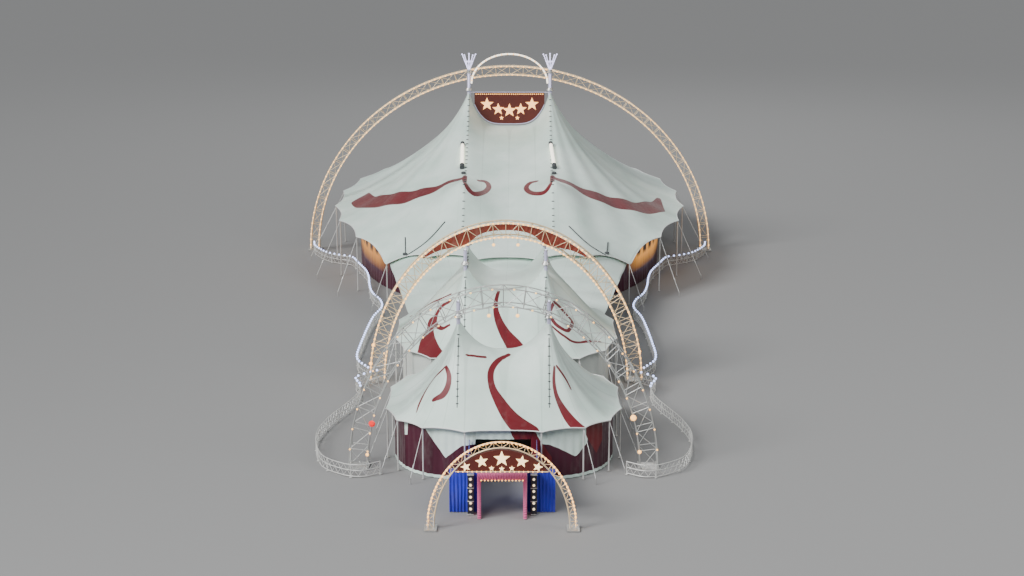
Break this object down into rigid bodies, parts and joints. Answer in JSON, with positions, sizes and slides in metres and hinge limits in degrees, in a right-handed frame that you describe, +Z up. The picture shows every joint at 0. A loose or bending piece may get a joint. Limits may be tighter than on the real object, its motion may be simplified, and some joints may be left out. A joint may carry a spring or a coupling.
{
  "type": "circus big top tent complex, 1:10 scale model",
  "caption": "Circus big top with a lit lattice arch over it, smaller peaked tents in front, a covered link, and a lit entrance arch with drapes.",
  "frame": {"origin": "middle of the bounding box, at ground level", "axes": "+Z up, +Y from the entrance to the back of the main tent, +X to the right as one walks in"},
  "size_m": [4.97, 12.7898, 2.43],
  "materials": {
    "membrane": "coated satin",
    "maroon_wall": "coated matt",
    "pale_wall": "coated matt",
    "galvanised_steel": "satin",
    "mast_paint": "satin",
    "arch_paint": "satin",
    "dark_board": "matt",
    "blue_drape": "matt",
    "pink_portal": "matt",
    "black_case": "satin"
  },
  "bodies": {
    "root": {"entrance_arch": "arch_paint", "entrance_drape_left": "blue_drape", "entrance_drape_right": "blue_drape", "entrance_portal": "pink_portal", "entrance_sign": "dark_board", "front_arch": "arch_paint", "front_barrier_left": "galvanised_steel", "front_barrier_right": "galvanised_steel", "front_mast_left": "mast_paint", "front_mast_right": "mast_paint", "front_rim_left": "galvanised_steel", "front_rim_right": "galvanised_steel", "front_roof_left": "membrane", "front_roof_right": "membrane", "front_wall_left": "maroon_wall", "front_wall_right": "maroon_wall", "lamp_column_left": "black_case", "lamp_column_right": "black_case", "link_canopy": "membrane", "link_wall_left": "pale_wall", "link_wall_right": "pale_wall", "main_arch": "arch_paint", "main_mast_left": "mast_paint", "main_mast_right": "mast_paint", "main_rim_left": "galvanised_steel", "main_rim_right": "galvanised_steel", "main_roof_back": "membrane", "main_roof_front": "membrane", "main_roof_left": "membrane", "main_roof_right": "membrane", "main_wall_back": "maroon_wall", "main_wall_left": "maroon_wall", "main_wall_right": "maroon_wall", "mast_arch": "arch_paint", "mast_sign": "dark_board", "mid_arch": "arch_paint", "mid_mast_back_left": "mast_paint", "mid_mast_back_right": "mast_paint", "mid_mast_front_left": "mast_paint", "mid_mast_front_right": "mast_paint", "mid_rim_left": "galvanised_steel", "mid_rim_right": "galvanised_steel", "mid_roof_left": "membrane", "mid_roof_right": "membrane", "mid_wall_left": "pale_wall", "mid_wall_right": "pale_wall", "side_barrier_left": "galvanised_steel", "side_barrier_right": "galvanised_steel"}
  },
  "joints": []
}
